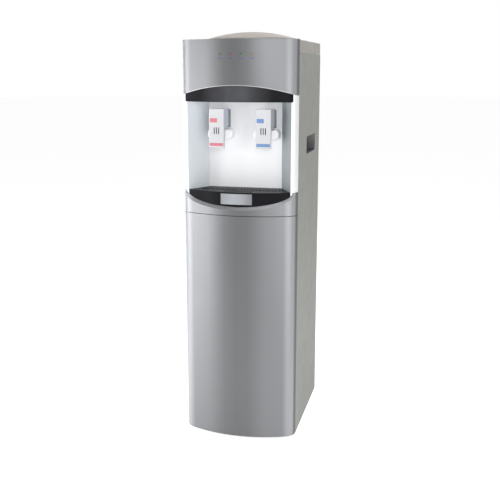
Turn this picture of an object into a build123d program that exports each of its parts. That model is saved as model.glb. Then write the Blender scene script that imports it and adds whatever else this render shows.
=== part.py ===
from build123d import *
import os
from math import radians, sin, sqrt

# Bottom load water cooler, in millimetres. X is to the right seen from the front, Y goes to the back,
# Z is up. The origin is on the floor under the middle of the cabinet.

# ---- driving dimensions -------------------------------------------------------------------------
BODY_WIDTH = 310
BODY_DEPTH = 388
BODY_TOP = 1072
UPPER_HEIGHT = 450.5          # top of the door to the top of the cabinet
BOW = 38                      # how far the front stands out in the middle
CORNER_RADIUS = 33.5
FRONT_WRAP = 21               # how far the front pieces reach round the corner
JOINT_GAP = 1.5               # seam between the front pieces and the side panels
SKIRT_GAP = 6                 # floor to door and side panels
SHEET = 1.2                   # steel sheet
WALL = 2.5                    # moulded wall
FIT = 0.3                     # gap between seated pieces
PIN_FIT = 0.05                # radial gap of a turning pin
CLOSE_FIT = 0.1               # gap of pieces that all but touch
PAST = 1                      # how far a cutter reaches past a face

SEAM = 1.5                    # seam between the door and the lower fascia
DOOR_CAP = 3                  # top and bottom wall of the door
HINGE_INSET_X = 15            # hinge pin from the outside of the cabinet
HINGE_INSET_Y = 22            # hinge pin in front of the side panel's edge
HINGE_PIN_RADIUS = 3
HINGE_PIN_LENGTH = 11
HINGE_BOSS_RADIUS = 8
HINGE_PLATE = 2
HINGE_GAP = 1                 # hinge plate to door
HINGE_PLATE_WIDTH = 26
MAGNET_SIZE = (8, 60)
MAGNET_GAP = 0.5

RIM_RISE = 21.5               # seam to the fascia's inner rim in the middle
RIM_HALF = 144                # middle to the upright ends of the rim
RIM_END_CAP = 10.5            # solid top of the fascia's raised ends
RIM_END_ROUND = 9
RIM_IN = 8                    # slope of the rim, inwards
RIM_UP = 7.5                  # slope of the rim, upwards
ARCH_DROP = 115.5             # cabinet's top to the upper fascia's arch in the middle
ARCH_RADIUS = 488.3
VISOR_DROP = 157
VISOR_OVERLAP = 12            # visor behind the fascia above the arch

RECESS_HALF_FRONT = 139
RECESS_HALF_BACK = 100
RECESS_DEPTH = 73
CEILING_DROP = 154
CHEEK_END = 5.5               # solid lower end of the hollow cheeks

TRAY_RISE = 38.5              # rim to the top of the tray
TRAY_GAP = 0.6                # tray to rim
TRAY_SIDE_GAP = 1.2
TRAY_WALL = 3
TRAY_LEDGE = 1.6
GRILLE_THICKNESS = 2.6
GRILLE_SLOT = (4.2, 24)
GRILLE_PITCH = (8.6, 30)
GRILLE_MARGIN = 7
GRILLE_ROWS = 4
INLAY_WIDTH = 84
INLAY_THICKNESS = 0.8
INLAY_EDGE = 4
INLAY_HEIGHT = 28
INLAY_PROUD = 0.2

TAP_SPACING = 126
PADDLE_FRONT = 10             # paddle face behind the front corner line
PADDLE_WIDTH = 41
PADDLE_DROP = 176
PADDLE_HEIGHT = 101
PADDLE_WALL = 2.6
PADDLE_CHEEK_DEPTH = 44
PADDLE_CHEEK_HEIGHT = 46
PADDLE_LIP = 7
PADDLE_ROUND = 5
PIVOT_BELOW_TOP = 10
PIVOT_BEHIND_FACE = 19
PIVOT_PIN_RADIUS = 2
SLOT_SIZE = (2.6, 18)
SLOT_PITCH = 6
SLOT_COUNT = 3
SLOT_DROP = 57                # paddle's top to the middle of its slots
LABEL_SIZE = (19, 11)
LABEL_OFFSET = (-8, 30)       # label from the paddle's middle and top
STRIP_SIZE = (36, 8)
STRIP_RISE = 4
MARK_THICKNESS = 0.4
FAUCET_WIDTH = 30
FAUCET_DROP = 15              # paddle's top to the faucet's
FAUCET_HEIGHT = 31
FAUCET_FRONT_GAP = 9          # faucet to the paddle's back
FAUCET_FLANGE = (44, 56, 3)
FAUCET_STUB = (7, 14)
BARB_RADIUS = 5
BARB_BORE = 2.6
BARB_INSET = 1.5              # barb short of the stub's end
BARB_DROP = 20
NOZZLE_RADIUS = 12
NOZZLE_BORE = 4.5
NOZZLE_RISE = 17              # paddle's bottom to the nozzle's
NOZZLE_BEHIND_FACE = 41
NOZZLE_BLOCK = (68, 27)       # moulding round the nozzle
NOZZLE_BLOCK_RISE = 3         # nozzle's bottom to the block's
NOZZLE_BLOCK_ROUND = 11
EAR_RADIUS = 5.5
EAR_NECK = 4.6                # half thickness of the web under the ear
SPRING_RADIUS = 3.5
SPRING_WIRE = 1
SPRING_DROP = 25

LENS_RADIUS = 2.6
LENS_HOLE_GAP = 0.3
LENS_PITCH = 28
LENS_COUNT = 4
LENS_FIRST = -40
LENS_DROP = 37
LENS_PROUD = 0.2
BOARD_SIZE = (124, 1.6, 24)
BOARD_BEHIND = 20
POST_RADIUS = 3.5

CAP_BAND = 34                 # side band of the top cover
CAP_ROUND = 6
CAP_PLATE = 3
CAP_LIP = (2, 9)
LID_RADIUS = 120
LID_RIM = 6
LID_DOME = 18
LID_WALL = 2.4
COLLAR_RADIUS = 113
COLLAR_WALL = 3
COLLAR_HEIGHT = 5

GRIP_FRONT = -18
GRIP_WIDTH = 139
GRIP_DROP = 302
GRIP_HEIGHT = 48
GRIP_DEPTH = 22
GRIP_KNEE = 35                # height up to which the grip is deepest
GRIP_SHALLOW = 12             # depth of the grip at its top
GRIP_FLANGE = 6
GRIP_WALL = 2
GRIP_ROUND = 8

RETURN_FLANGE = 14            # rear return of the side panels
REAR_RECESS = 33              # rear panel in front of the cabinet's back
VENT_SLOT = (64, 5)
VENT_PITCH = 12
VENT_COUNT = 9
VENT_DROP = 192
VENT_SPREAD = 88

PAN_BOTTOM = 8
PAN_FLANGE = 18
FOOT_RADIUS = 15
FOOT_INSET = (52, 20)
FRAME_LIP = 11
FRAME_TOP_LIP = 18
FRAME_DEPTH = 4
FRAME_SET_BACK = 7            # bay frame behind the side panel's front edge
BOTTLE_TRAY_RIM = 14
BOTTLE_TRAY_MARGIN = 12
BAY_RISE = 8.5                # door's top to the machine shelf
SHELF_FLANGE = 14
TANK_SHELF_DROP = 243.2
TANK_SHELF_GAP = 25           # recess to the front of the tank shelf

TANK_FRONT_GAP = 8.5          # recess housing to the insulation
TANK_BACK_GAP = 9             # insulation to the rear panel
TANK_HEIGHT = 150
TANK_WALL = 1
WINDING_RADIUS = 3.2
WINDING_TURNS = 6
WINDING_PITCH = 14
FOAM_THICKNESS = 25
HOT_TANK_SIZE = (45, 126)     # radius and height
HOT_TANK_INSET = (75, 99)     # middle from the cabinet's left side and from the rear panel
COMPRESSOR_SIZE = (60, 112)
COMPRESSOR_INSET = (99, 81)   # middle from the cabinet's right side and from the rear panel
COMPRESSOR_ROUND = 20
COMPRESSOR_WALL = 5
COMPRESSOR_PLATE = (104, 92, 2)
GROMMET = (6, 7)
PUMP_BODY = (44, 46, 40)
PUMP_MOTOR = (17, 46)
DRIER_RADIUS = 8
DRIER_HEIGHT = 62
BOARD_CONTROL = (1.6, 110, 90)
BOARD_CONTROL_FRONT = -30
BOARD_CONTROL_DROP = 212
STANDOFF = (3, 5)
RELAY = (20, 10)              # side and height of the relay on the control board
CAPACITOR = (7, 20)           # radius and height of the capacitor

TUBE_RADIUS = 2.4
CONDENSER_INSET = 50          # turns from the side of the cabinet
CONDENSER_BOTTOM = 190
CONDENSER_RISE = 10           # machine shelf to the highest run
CONDENSER_RUNS = 11
CONDENSER_STAND_OFF = 17      # tube's centre behind the rear panel
RUN_STRAIGHT = 1              # straight piece between two bends of a turn
WIRE_RADIUS = 0.8
WIRE_PITCH = 9
WIRE_OVERHANG = 12
MOUNT_SIZE = (6, 12)
RETURN_INSET = 19             # drier from the side of the cabinet
DRIER_INSET = 33              # drier from the rear panel
TUBE_HOLE_RADIUS = 6
TUBE_DROP = 46.8              # discharge tube under the tank shelf
DISCHARGE_PLACE = (30, 20)    # stub on the compressor, from its middle

HOSE_RADIUS = 5
HOSE_BORE = 3.2
HOSE_HOLE_RADIUS = 8
PROBE_RADIUS = 9
PROBE_BORE = 5
PROBE_BOTTOM = 140
PROBE_CAP = (27, 18)
PROBE_INSET = (43, 27)        # probe from the cabinet's right side and from the rear panel
PROBE_DROP = 70               # probe under the machine shelf
HOSE_SIDESTEP = 18
HOSE_BENDS = (16, 12, 12)
HOSE_BEND = 16
HOSE_RUN_DROP = 32.8          # hoses under the tank shelf
SUPPLY_PLACE = (14, 14)       # supply hose on the pump, from its middle
SUPPLY_X = 22
SUPPLY_INSET = 10             # supply hose from the front of the cold tank
OUTLET_SHARE = 0.625          # cold outlet off the tank's middle, as a share of its radius
RETURN_BEND = 9
RETURN_DROP = 38.8            # return line under the tank shelf
RETURN_STUB = (27.5, -18)     # return line on the compressor, from its middle
CLIP_HEIGHT = 20

SWITCH_SIZE = (13, 19, 12)
SWITCH_PITCH = 26
SWITCH_INSET = (63, 87)       # switches from the cabinet's left side and top
SWITCH_TILT = 8
SWITCH_GAP = 0.6
SWITCH_SWING_GAP = 1.6
SWITCH_PIN_RADIUS = 1
SWITCH_PIN = 1                # reach of a pin into its rocker
ROCKER_PROUD = 1
ROCKER_TAPER = 1
BEZEL_MARGIN = 7
BEZEL_PLATE = 2.4
DRAIN_OFFSET = (30, 92)       # drain from the middle and from the machine shelf
DRAIN_RADIUS = 12
DRAIN_BORE = 6
DRAIN_PROUD = 16
PLUG_FLANGE = (11, 4)
PLUG_LENGTH = 12
GLAND_OFFSET = (37, 112)      # gland from the left side and from the machine shelf
GLAND_RADIUS = 9
GLAND_BORE = 3.6
SCREW_HEAD = (3.6, 2)
SCREW_RADIUS = 1.9
SCREW_HOLE = 2.2
SCREW_EDGE = 6
SCREW_ROWS = 6
SCREW_ENDS = (30, 62)         # lowest screw from the floor, highest from the top

# ---- places that follow from them ---------------------------------------------------------------
HALF = BODY_WIDTH / 2
FRONT_Y = -BODY_DEPTH / 2
BACK_Y = BODY_DEPTH / 2
CORNER_Y = FRONT_Y + BOW
JOINT_Y = CORNER_Y + FRONT_WRAP
FRONT_BACK_Y = JOINT_Y - JOINT_GAP
BOW_RADIUS = (HALF ** 2 + BOW ** 2) / (2 * BOW)
DOOR_BOTTOM = SKIRT_GAP
DOOR_TOP = BODY_TOP - UPPER_HEIGHT
FASCIA_BOTTOM = DOOR_TOP + SEAM
RIM_MIDDLE = FASCIA_BOTTOM + RIM_RISE
ARCH_MIDDLE = BODY_TOP - ARCH_DROP
VISOR_BOTTOM = BODY_TOP - VISOR_DROP
RECESS_CEILING = BODY_TOP - CEILING_DROP
TRAY_TOP = RIM_MIDDLE + TRAY_RISE
LENS_HEIGHT = BODY_TOP - LENS_DROP
GRIP_BOTTOM = BODY_TOP - GRIP_DROP
VENT_BOTTOM = BODY_TOP - VENT_DROP
BAY_TOP = DOOR_TOP + BAY_RISE
TANK_SHELF_HEIGHT = BODY_TOP - TANK_SHELF_DROP
INSIDE = HALF - SHEET - FIT
REAR_Y = BACK_Y - REAR_RECESS
BAY_FLOOR = PAN_BOTTOM + SHEET
CAP_BOTTOM = BODY_TOP - CAP_BAND
SHELF_TOP = BAY_TOP + SHEET
TANK_SHELF_TOP = TANK_SHELF_HEIGHT + SHEET
RECESS_BACK_Y = CORNER_Y + RECESS_DEPTH
TANK_SHELF_FRONT = RECESS_BACK_Y + TANK_SHELF_GAP
PADDLE_Y = CORNER_Y + PADDLE_FRONT
PADDLE_TOP = BODY_TOP - PADDLE_DROP
PADDLE_BOTTOM = PADDLE_TOP - PADDLE_HEIGHT
SLOT_HEIGHT = PADDLE_TOP - SLOT_DROP
LABEL_PLACE = (LABEL_OFFSET[0], PADDLE_TOP - LABEL_OFFSET[1])
STRIP_HEIGHT = PADDLE_BOTTOM + STRIP_RISE
FAUCET_TOP = PADDLE_TOP - FAUCET_DROP
NOZZLE_BOTTOM = PADDLE_BOTTOM + NOZZLE_RISE
SPRING_HEIGHT = PADDLE_TOP - SPRING_DROP
PIVOT_Y = PADDLE_Y + PIVOT_BEHIND_FACE
PIVOT_Z = PADDLE_TOP - PIVOT_BELOW_TOP
FRAME_FRONT = JOINT_Y + FRAME_SET_BACK
HINGE_X = -HALF + HINGE_INSET_X
HINGE_Y = JOINT_Y - HINGE_INSET_Y
TAPS = {"hot": -TAP_SPACING / 2, "cold": TAP_SPACING / 2}
LENS_XS = [LENS_FIRST + LENS_PITCH * i for i in range(LENS_COUNT)]
LID_BOTTOM = BODY_TOP + FIT
CONDENSER_Y = REAR_Y + CONDENSER_STAND_OFF
CONDENSER_HALF = HALF - CONDENSER_INSET
CONDENSER_PITCH = (BAY_TOP + CONDENSER_RISE - CONDENSER_BOTTOM) / (CONDENSER_RUNS - 1)
CONDENSER_ROWS = [CONDENSER_BOTTOM + CONDENSER_PITCH * i for i in range(CONDENSER_RUNS)]
CONDENSER_BEND = (CONDENSER_PITCH - RUN_STRAIGHT) / 2
RETURN_X = RETURN_INSET - HALF
DRIER_Y = REAR_Y - DRIER_INSET
TUBE_LIFT = TANK_SHELF_HEIGHT - TUBE_DROP
SWITCH_PLACE = (SWITCH_INSET[0] - HALF, BODY_TOP - SWITCH_INSET[1])
SWITCHES = {"hot": SWITCH_PLACE[0] - SWITCH_PITCH / 2, "cold": SWITCH_PLACE[0] + SWITCH_PITCH / 2}
FOAM_OUTER = (REAR_Y - TANK_BACK_GAP - RECESS_BACK_Y - WALL - TANK_FRONT_GAP) / 2
FOAM_INNER = FOAM_OUTER - FOAM_THICKNESS
TANK_Y = REAR_Y - TANK_BACK_GAP - FOAM_OUTER
WINDING_CENTRE = FOAM_INNER - FIT - WINDING_RADIUS
TANK_RADIUS = WINDING_CENTRE - WINDING_RADIUS - FIT
COLD_OUTLET = (OUTLET_SHARE * TANK_RADIUS, TANK_Y - OUTLET_SHARE * TANK_RADIUS)
SUPPLY_XY = (SUPPLY_X, TANK_Y - TANK_RADIUS + SUPPLY_INSET)
PUMP_PLACE = (SUPPLY_XY[0] - SUPPLY_PLACE[0], SUPPLY_XY[1] - SUPPLY_PLACE[1])
HOT_TANK = (HOT_TANK_INSET[0] - HALF, REAR_Y - HOT_TANK_INSET[1], *HOT_TANK_SIZE)
COMPRESSOR = (HALF - COMPRESSOR_INSET[0], REAR_Y - COMPRESSOR_INSET[1], *COMPRESSOR_SIZE)
PROBE_PLACE = (HALF - PROBE_INSET[0], REAR_Y - PROBE_INSET[1])
PROBE_TOP = BAY_TOP - PROBE_DROP
HOSE_RUN_HEIGHT = TANK_SHELF_HEIGHT - HOSE_RUN_DROP
RETURN_RUN = TANK_SHELF_HEIGHT - RETURN_DROP
BOARD_CONTROL_PLACE = (BOARD_CONTROL_FRONT, BODY_TOP - BOARD_CONTROL_DROP)
DRAIN_PLACE = (DRAIN_OFFSET[0], BAY_TOP + DRAIN_OFFSET[1])
GLAND_PLACE = (GLAND_OFFSET[0] - HALF, BAY_TOP + GLAND_OFFSET[1])
SCREW_PITCH = (BODY_TOP - sum(SCREW_ENDS)) / (SCREW_ROWS - 1)
SCREW_HEIGHTS = [SCREW_ENDS[0] + SCREW_PITCH * i for i in range(SCREW_ROWS)]
FOAM_BOTTOM = TANK_SHELF_TOP
TANK_BOTTOM = FOAM_BOTTOM + FOAM_THICKNESS
WINDING_BOTTOM = TANK_BOTTOM + (TANK_HEIGHT - WINDING_TURNS * WINDING_PITCH) / 2
COMPRESSOR_BASE = SHELF_TOP + GROMMET[1] + COMPRESSOR_PLATE[2]
COMPRESSOR_TOP = COMPRESSOR_BASE + COMPRESSOR[3]
DRIER_TOP = SHELF_TOP + DRIER_HEIGHT
LENS_MIDDLE = LENS_FIRST + LENS_PITCH * (LENS_COUNT - 1) / 2
BOARD_FRONT = FRONT_Y + BOARD_BEHIND
STUB_Z = FAUCET_TOP - FAUCET_HEIGHT / 2
STUB_END = RECESS_BACK_Y + WALL + FAUCET_STUB[1]
BARB_Y = STUB_END - BARB_RADIUS - BARB_INSET
BARB_BOTTOM = STUB_Z - BARB_DROP
LEDGE_Z = TRAY_TOP - GRILLE_THICKNESS - FIT
INLAY_TOP = TRAY_TOP - INLAY_EDGE
INLAY_BOTTOM = INLAY_TOP - INLAY_HEIGHT
BEZEL_WIDTH = SWITCH_PITCH + SWITCH_SIZE[0] + 2 * BEZEL_MARGIN
BEZEL_HEIGHT = SWITCH_SIZE[1] + 2 * BEZEL_MARGIN
FAR = 2 * BODY_TOP            # longer than anything that is cut


# ---- helpers ------------------------------------------------------------------------------------
def block(x0, x1, y0, y1, z0, z1):
    size = Box(x1 - x0, y1 - y0, z1 - z0)
    return Pos((x0 + x1) / 2, (y0 + y1) / 2, (z0 + z1) / 2) * size


def upright(x, y, z0, z1, radius):
    return Pos(x, y, (z0 + z1) / 2) * Cylinder(radius, z1 - z0)


def along_y(x, z, y0, y1, radius):
    return Pos(x, (y0 + y1) / 2, z) * Rot(90, 0, 0) * Cylinder(radius, y1 - y0)


def along_x(y, z, x0, x1, radius):
    return Pos((x0 + x1) / 2, y, z) * Rot(0, 90, 0) * Cylinder(radius, x1 - x0)


def prism(sketch, z0, z1):
    return extrude(Pos(0, 0, z0) * sketch, z1 - z0)


def bow_plan(inset, back):
    """Plan of the cabinet's front, drawn in by an inset and cut off at the given Y."""
    disc = Pos(0, FRONT_Y + BOW_RADIUS) * Circle(BOW_RADIUS - inset)
    strip = Pos(0, CORNER_Y) * Rectangle(BODY_WIDTH - 2 * inset, BODY_DEPTH)
    plan = disc & strip
    corners = plan.vertices().sort_by(Axis.Y)[:2]
    plan = fillet(corners, CORNER_RADIUS - inset)
    return plan & (Pos(0, back - FAR / 2) * Rectangle(FAR, FAR))


def bow_y(x, inset):
    """Y of the bowed front at a place across it."""
    return FRONT_Y + BOW_RADIUS - sqrt((BOW_RADIUS - inset) ** 2 - x ** 2)


def over_rim(grow):
    """All that lies over the rim: the half ellipse that dips from the tray's top, and the space above."""
    dip = Pos(0, TRAY_TOP) * Ellipse(RIM_HALF + grow, TRAY_RISE + grow)
    above = Pos(0, TRAY_TOP - grow + FAR / 2) * Rectangle(2 * FAR, FAR)
    return Pos(0, FAR) * extrude(Plane.XZ * (dip + above), 2 * FAR)


def over_arch(solid, middle):
    """Keep what lies over the arc that rises in the middle."""
    return solid - along_y(0, middle - ARCH_RADIUS, -FAR, FAR, ARCH_RADIUS)


def flared_plan(grow, front, back):
    """Plan of the recess between its flared walls, moved outwards by grow."""
    slope = (RECESS_HALF_FRONT - RECESS_HALF_BACK) / RECESS_DEPTH
    aside = grow * sqrt(1 + slope ** 2)
    half_front = RECESS_HALF_FRONT + aside - slope * (front - CORNER_Y)
    half_back = RECESS_HALF_FRONT + aside - slope * (back - CORNER_Y)
    outline = [(-half_front, front), (half_front, front), (half_back, back), (-half_back, back)]
    return make_face(Polyline(*outline, close=True))


def tube(points, bends, radius, bore=0):
    """Straight runs joined by tangent arcs, as one round tube."""
    path = FilletPolyline(*points, radius=bends)
    section = Circle(radius) - Circle(bore) if bore else Circle(radius)
    return sweep(Plane(path @ 0, z_dir=path % 0) * section, path)


# ---- cabinet ------------------------------------------------------------------------------------
def base_pan():
    front = FRAME_FRONT + FRAME_DEPTH + FIT
    back = REAR_Y - FIT
    outer = block(-INSIDE, INSIDE, front, back, PAN_BOTTOM, PAN_BOTTOM + PAN_FLANGE)
    inner = block(-INSIDE + SHEET, INSIDE - SHEET, front + SHEET, back - SHEET, BAY_FLOOR, FAR)
    front_plate = block(-INSIDE, INSIDE, FRAME_FRONT, front, PAN_BOTTOM, BAY_FLOOR)
    return outer - inner + front_plate


def feet():
    x = HALF - FOOT_INSET[0]
    front = FRAME_FRONT + FOOT_INSET[1]
    back = REAR_Y - FOOT_INSET[1]
    places = [(side * x, y) for side in (-1, 1) for y in (front, back)]
    return Compound([upright(*place, 0, PAN_BOTTOM, FOOT_RADIUS) for place in places])


def side_panel(side):
    sheet = block(HALF - SHEET, HALF, JOINT_Y, BACK_Y, SKIRT_GAP, CAP_BOTTOM - FIT)
    flange = block(HALF - RETURN_FLANGE, HALF, BACK_Y - SHEET, BACK_Y, SKIRT_GAP, CAP_BOTTOM - FIT)
    window = block(0, FAR, GRIP_FRONT, GRIP_FRONT + GRIP_WIDTH, GRIP_BOTTOM, GRIP_BOTTOM + GRIP_HEIGHT)
    window = fillet(window.edges().filter_by(Axis.X), GRIP_ROUND)
    panel = sheet + flange - window
    return panel if side > 0 else mirror(panel, about=Plane.YZ)


def scoop(grow):
    """Hand space of the grip: deep at the bottom, sloping out towards its top."""
    floor = GRIP_BOTTOM - grow
    top = GRIP_BOTTOM + GRIP_HEIGHT + grow
    knee = GRIP_BOTTOM + GRIP_KNEE + grow
    deep = HALF - GRIP_DEPTH - grow
    shallow = HALF - GRIP_SHALLOW - grow
    outline = [(FAR, floor), (deep, floor), (deep, knee), (shallow, top), (FAR, top)]
    section = Plane.XZ * make_face(Polyline(*outline, close=True))
    body = Pos(0, GRIP_FRONT - grow, 0) * extrude(section, -(GRIP_WIDTH + 2 * grow))
    return fillet(body.edges().filter_by(Axis.X), GRIP_ROUND + grow)


def grip_cup(side):
    inner_face = HALF - SHEET
    cup = scoop(GRIP_WALL) & block(0, inner_face, -FAR, FAR, 0, FAR)
    edge = GRIP_FLANGE
    flange = block(inner_face - GRIP_WALL, inner_face, GRIP_FRONT - edge, GRIP_FRONT + GRIP_WIDTH + edge,
                   GRIP_BOTTOM - edge, GRIP_BOTTOM + GRIP_HEIGHT + edge)
    cup = cup + flange - scoop(0)
    return cup if side > 0 else mirror(cup, about=Plane.YZ)


def rear_screws():
    x = INSIDE - SHEET - SCREW_EDGE
    outside = REAR_Y + SHEET
    group = []
    for side in (-1, 1):
        for z in SCREW_HEIGHTS:
            head = along_y(side * x, z, outside, outside + SCREW_HEAD[1], SCREW_HEAD[0])
            group.append(head + along_y(side * x, z, REAR_Y, outside, SCREW_RADIUS))
    return Compound(group)


def rear_panel():
    top = CAP_BOTTOM - CAP_LIP[1] - FIT
    bottom = PAN_BOTTOM + FIT
    outer = block(-INSIDE, INSIDE, REAR_Y, BACK_Y - SHEET - FIT, bottom, top)
    inner = block(-INSIDE + SHEET, INSIDE - SHEET, REAR_Y + SHEET, FAR, 0, FAR)
    panel = outer - inner
    for side in (-1, 1):
        for row in range(VENT_COUNT):
            x = side * VENT_SPREAD / 2
            z = VENT_BOTTOM + row * VENT_PITCH
            slot = Plane.XZ * SlotOverall(*VENT_SLOT)
            panel -= Pos(x, REAR_Y - PAST, z) * extrude(slot, -(SHEET + 2 * PAST))
        for z in SCREW_HEIGHTS:
            hole_x = side * (INSIDE - SHEET - SCREW_EDGE)
            panel -= along_y(hole_x, z, REAR_Y - PAST, REAR_Y + SHEET + PAST, SCREW_HOLE)
    x, z = SWITCH_PLACE
    half_x = BEZEL_WIDTH / 2 - WALL - FIT
    half_z = BEZEL_HEIGHT / 2 - WALL - FIT
    panel -= block(x - half_x, x + half_x, REAR_Y - PAST, REAR_Y + SHEET + PAST, z - half_z, z + half_z)
    holes = [(DRAIN_PLACE, DRAIN_RADIUS - WALL + FIT), (GLAND_PLACE, GLAND_RADIUS - WALL + FIT)]
    holes += [((CONDENSER_HALF, TUBE_LIFT), TUBE_HOLE_RADIUS)]
    holes += [((RETURN_X, DRIER_TOP + CONDENSER_BEND), TUBE_HOLE_RADIUS)]
    for (x, z), radius in holes:
        panel -= along_y(x, z, REAR_Y - PAST, REAR_Y + SHEET + PAST, radius)
    return panel


def bay_frame():
    bottom = BAY_FLOOR
    top = BAY_TOP - FIT
    ring = block(-INSIDE, INSIDE, FRAME_FRONT, FRAME_FRONT + FRAME_DEPTH, bottom, top)
    opening = block(-INSIDE + FRAME_LIP, INSIDE - FRAME_LIP, -FAR, FAR,
                    PAN_BOTTOM + PAN_FLANGE, top - FRAME_TOP_LIP)
    return ring - fillet(opening.edges().filter_by(Axis.Y), GRIP_ROUND)


def bottle_tray():
    half = INSIDE - BOTTLE_TRAY_MARGIN
    front = FRAME_FRONT + FRAME_DEPTH + BOTTLE_TRAY_MARGIN
    back = REAR_Y - BOTTLE_TRAY_MARGIN
    outer = block(-half, half, front, back, BAY_FLOOR, BAY_FLOOR + BOTTLE_TRAY_RIM)
    outer = fillet(outer.edges().filter_by(Axis.Z), CORNER_RADIUS)
    inner = block(-half + WALL, half - WALL, front + WALL, back - WALL, BAY_FLOOR + WALL, FAR)
    return outer - fillet(inner.edges().filter_by(Axis.Z), CORNER_RADIUS - WALL)


def shelf(front, height, flange_up):
    """Sheet across the cabinet with folded flanges on the side panels."""
    back = REAR_Y - FIT
    outer = block(-INSIDE, INSIDE, front, back, height, height + flange_up)
    return outer - block(-INSIDE + SHEET, INSIDE - SHEET, -FAR, FAR, height + SHEET, FAR)


def machine_shelf():
    x, y = PROBE_PLACE
    return shelf(FRAME_FRONT, BAY_TOP, SHELF_FLANGE) - upright(x, y, 0, FAR, HOSE_HOLE_RADIUS)


def tank_shelf():
    plate = shelf(TANK_SHELF_FRONT, TANK_SHELF_HEIGHT, SHELF_FLANGE)
    for place in (SUPPLY_XY, COLD_OUTLET, return_top()):
        plate -= upright(*place, 0, FAR, HOSE_HOLE_RADIUS)
    return plate


def hinge_outline():
    """Plan of a hinge plate: behind the front skin, round the pin and back to the frame."""
    left = -INSIDE
    strip = Pos(left + HINGE_PLATE_WIDTH / 2, HINGE_Y) * Rectangle(HINGE_PLATE_WIDTH, FAR)
    back = Pos(0, FRAME_FRONT - FAR / 2) * Rectangle(FAR, FAR)
    return bow_plan(WALL + FIT, FRAME_FRONT) & strip & back


def lower_hinge():
    top = DOOR_BOTTOM - HINGE_GAP
    plate = prism(hinge_outline(), top - HINGE_PLATE, top)
    left = -INSIDE
    foot = block(left, left + HINGE_PLATE_WIDTH, FRAME_FRONT, FRAME_FRONT + HINGE_PLATE_WIDTH,
                 top - HINGE_PLATE, PAN_BOTTOM)
    pin = upright(HINGE_X, HINGE_Y, top, DOOR_BOTTOM + HINGE_PIN_LENGTH, HINGE_PIN_RADIUS)
    return plate + foot + pin


def upper_hinge():
    bottom = DOOR_TOP + HINGE_GAP
    plate = prism(hinge_outline(), bottom, bottom + HINGE_PLATE)
    left = -INSIDE
    tab = block(left, left + HINGE_PLATE_WIDTH, FRAME_FRONT - HINGE_PLATE, FRAME_FRONT,
                bottom - HINGE_PLATE_WIDTH, bottom + HINGE_PLATE)
    pin = upright(HINGE_X, HINGE_Y, DOOR_TOP - HINGE_PIN_LENGTH, bottom, HINGE_PIN_RADIUS)
    return plate + tab + pin


# ---- door ---------------------------------------------------------------------------------------
def door_shell():
    outer = prism(bow_plan(0, FRONT_BACK_Y), DOOR_BOTTOM, DOOR_TOP)
    inner = prism(bow_plan(WALL, JOINT_Y), DOOR_BOTTOM + DOOR_CAP, DOOR_TOP - DOOR_CAP)
    boss_length = HINGE_PIN_LENGTH + DOOR_CAP
    low = upright(HINGE_X, HINGE_Y, DOOR_BOTTOM, DOOR_BOTTOM + boss_length, HINGE_BOSS_RADIUS)
    high = upright(HINGE_X, HINGE_Y, DOOR_TOP - boss_length, DOOR_TOP, HINGE_BOSS_RADIUS)
    shell = outer - inner + ((low + high) & outer)
    bore = HINGE_PIN_RADIUS + PIN_FIT
    depth = HINGE_PIN_LENGTH + FIT
    shell -= upright(HINGE_X, HINGE_Y, DOOR_BOTTOM - PAST, DOOR_BOTTOM + depth, bore)
    return shell - upright(HINGE_X, HINGE_Y, DOOR_TOP - depth, DOOR_TOP + PAST, bore)


def door_liner():
    back = FRONT_BACK_Y
    plan = bow_plan(WALL + FIT, back) & (Pos(0, back - WALL / 2) * Rectangle(FAR, WALL))
    return prism(plan, DOOR_BOTTOM + DOOR_CAP + FIT, DOOR_TOP - DOOR_CAP - FIT)


def door_magnet():
    x = INSIDE - FRAME_LIP / 2
    middle = (DOOR_BOTTOM + DOOR_TOP) / 2
    width, height = MAGNET_SIZE
    return block(x - width / 2, x + width / 2, FRONT_BACK_Y, FRAME_FRONT - MAGNET_GAP,
                 middle - height / 2, middle + height / 2)


# ---- front above the door -----------------------------------------------------------------------
def rim_band(inset, back):
    """Bowed block under the rim, with its front top edge sloped off."""
    band = prism(bow_plan(inset, back), FASCIA_BOTTOM, TRAY_TOP) - over_rim(inset)
    front_edges = [edge for edge in band.edges().filter_by(GeomType.BSPLINE)
                   if edge.center().Y < back - JOINT_GAP]
    return chamfer(front_edges, RIM_UP, RIM_IN)


def lower_fascia():
    """Bowl round the tray's front, its two ends raised to the tray's top and rounded."""
    inner = rim_band(WALL, JOINT_Y + JOINT_GAP)
    inner &= block(-HALF, HALF, FRONT_Y, FAR, 0, TRAY_TOP - RIM_END_CAP)
    shell = rim_band(0, FRONT_BACK_Y) - inner
    face = Pos(0, TRAY_TOP / 2) * Rectangle(BODY_WIDTH, TRAY_TOP)
    face = fillet(face.vertices().sort_by(Axis.Y)[2:], RIM_END_ROUND)
    return shell & (Pos(0, FAR) * extrude(Plane.XZ * face, 2 * FAR))


def upper_fascia():
    outer = prism(bow_plan(0, FRONT_BACK_Y), VISOR_BOTTOM, BODY_TOP)
    inner = prism(bow_plan(WALL, JOINT_Y), 0, FAR)
    shell = over_arch(outer - inner, ARCH_MIDDLE)
    for x in LENS_XS:
        shell -= along_y(x, LENS_HEIGHT, FRONT_Y - PAST, CORNER_Y, LENS_RADIUS + LENS_HOLE_GAP)
    for side in (-1, 1):
        x = LENS_MIDDLE + side * (BOARD_SIZE[0] / 2 - POST_RADIUS)
        shell += along_y(x, LENS_HEIGHT, bow_y(x, WALL / 2), BOARD_FRONT, POST_RADIUS)
    return shell


def visor():
    outer = bow_plan(WALL + FIT, CORNER_Y - FIT)
    inner = bow_plan(2 * WALL + FIT, CORNER_Y)
    top = ARCH_MIDDLE + VISOR_OVERLAP
    return prism(outer - inner, VISOR_BOTTOM, top)


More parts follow.
